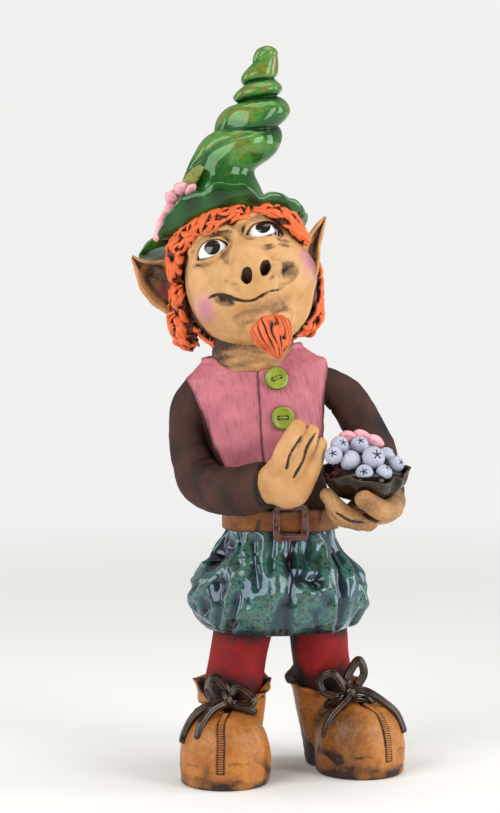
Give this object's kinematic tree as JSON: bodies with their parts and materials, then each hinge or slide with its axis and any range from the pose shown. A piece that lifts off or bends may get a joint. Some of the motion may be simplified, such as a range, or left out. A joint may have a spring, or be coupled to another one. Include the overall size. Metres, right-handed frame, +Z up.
{
  "type": "gnome figure",
  "caption": "Standing hand-built pottery gnome with a twisted pointed hat, a waistcoat, gathered breeches, laced shoes and a dish of berries in its hands.",
  "frame": {"origin": "under the middle of the figure's outline seen from above, on the surface that it stands on", "axes": "+Z up along the figure, -Y the way the figure faces, +X the figure's left"},
  "size_m": [0.146, 0.1106, 0.3921],
  "materials": {
    "skin": "unglazed clay washed with an iron stain, matt",
    "shoe": "clay under a thin satin glaze, rubbed with a dark stain",
    "lace": "glazed clay, glossy",
    "stocking": "underglaze colour, matt",
    "breeches": "glazed clay, glossy and mottled",
    "belt": "unglazed clay washed with an iron stain, matt",
    "buckle": "glazed clay, glossy",
    "shirt": "underglaze colour, matt",
    "vest": "brushed underglaze colour with a dark stain in its grooves, matt",
    "button": "underglaze colour, satin",
    "eye": "glazed clay, glossy",
    "hair": "underglaze colour with a dark stain in its grooves, matt",
    "hat": "glazed clay, glossy and mottled",
    "leaf": "underglaze colour, satin",
    "blossom": "underglaze colour, satin",
    "dish": "glazed clay, glossy",
    "berry": "underglaze colour, satin"
  },
  "bodies": {
    "root": {"beard": "hair", "belt": "belt", "berry_1": "berry", "berry_10": "berry", "berry_11": "berry", "berry_2": "berry", "berry_3": "berry", "berry_4": "berry", "berry_5": "berry", "berry_6": "berry", "berry_7": "berry", "berry_8": "berry", "berry_9": "berry", "berry_bed": "dish", "breeches": "breeches", "buckle": "buckle", "dish": "dish", "dish_blossom": "blossom", "hat_brim": "hat", "hat_cone": "hat", "hat_leaf": "leaf", "head": "skin", "left_ear": "skin", "left_eye": "eye", "left_fringe": "hair", "left_hand": "skin", "left_lock": "hair", "left_shoe": "shoe", "left_shoe_cuff": "shoe", "left_shoe_lace": "lace", "left_sleeve": "shirt", "left_stocking": "stocking", "lower_blossom": "blossom", "lower_button": "button", "nape_hair": "hair", "neck": "skin", "right_ear": "skin", "right_eye": "eye", "right_fringe": "hair", "right_hand": "skin", "right_lock": "hair", "right_shoe": "shoe", "right_shoe_cuff": "shoe", "right_shoe_lace": "lace", "right_sleeve": "shirt", "right_stocking": "stocking", "shirt": "shirt", "upper_blossom": "blossom", "upper_button": "button", "vest": "vest"}
  },
  "joints": []
}
